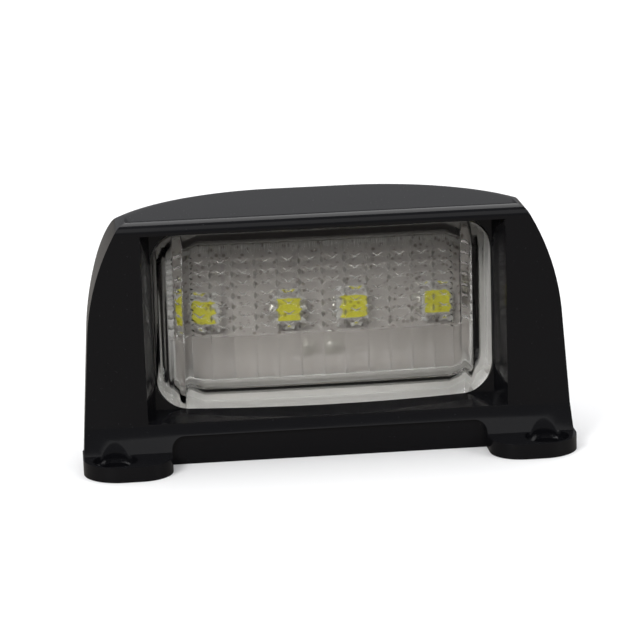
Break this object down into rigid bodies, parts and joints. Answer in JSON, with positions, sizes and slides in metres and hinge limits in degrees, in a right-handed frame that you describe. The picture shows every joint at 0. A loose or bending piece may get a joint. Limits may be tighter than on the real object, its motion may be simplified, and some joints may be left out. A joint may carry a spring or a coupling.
{
  "type": "number plate lamp",
  "caption": "Surface-mounted number plate lamp: arched black hood with screw ears around a recessed clear prismatic lens over a board of lights.",
  "frame": {"origin": "middle of the footprint, on the mounting face", "axes": "+X to the right as seen from the front, the lens looks along -Y, +Z away from the mounting face"},
  "size_m": [0.078, 0.038, 0.039],
  "materials": {
    "hood_plastic": "glossy black moulded plastic",
    "lens_plastic": "clear polished plastic",
    "sealant": "matt sealant",
    "base_plastic": "satin white moulded plastic",
    "board": "white solder mask",
    "led_plastic": "white package",
    "phosphor": "yellow phosphor in clear resin",
    "resistor_ceramic": "dark glazed ceramic",
    "chip": "black moulded resin",
    "capacitor_ceramic": "tan ceramic",
    "terminal_metal": "tinned metal",
    "resin": "black potting resin",
    "gland_rubber": "black rubber"
  },
  "bodies": {
    "root": {"bracket": "hood_plastic", "lens": "lens_plastic", "lens_seal": "sealant", "lamp_base": "base_plastic", "circuit_board": "board", "led_body_1": "led_plastic", "led_body_2": "led_plastic", "led_body_3": "led_plastic", "led_body_4": "led_plastic", "led_phosphor_1": "phosphor", "led_phosphor_2": "phosphor", "led_phosphor_3": "phosphor", "led_phosphor_4": "phosphor", "resistor_1": "resistor_ceramic", "resistor_2": "resistor_ceramic", "resistor_3": "resistor_ceramic", "resistor_4": "resistor_ceramic", "regulator": "chip", "reverse_diode": "chip", "capacitor": "capacitor_ceramic", "supply_terminal_1": "terminal_metal", "supply_terminal_2": "terminal_metal", "potting": "resin", "cable_gland": "gland_rubber"}
  },
  "joints": []
}
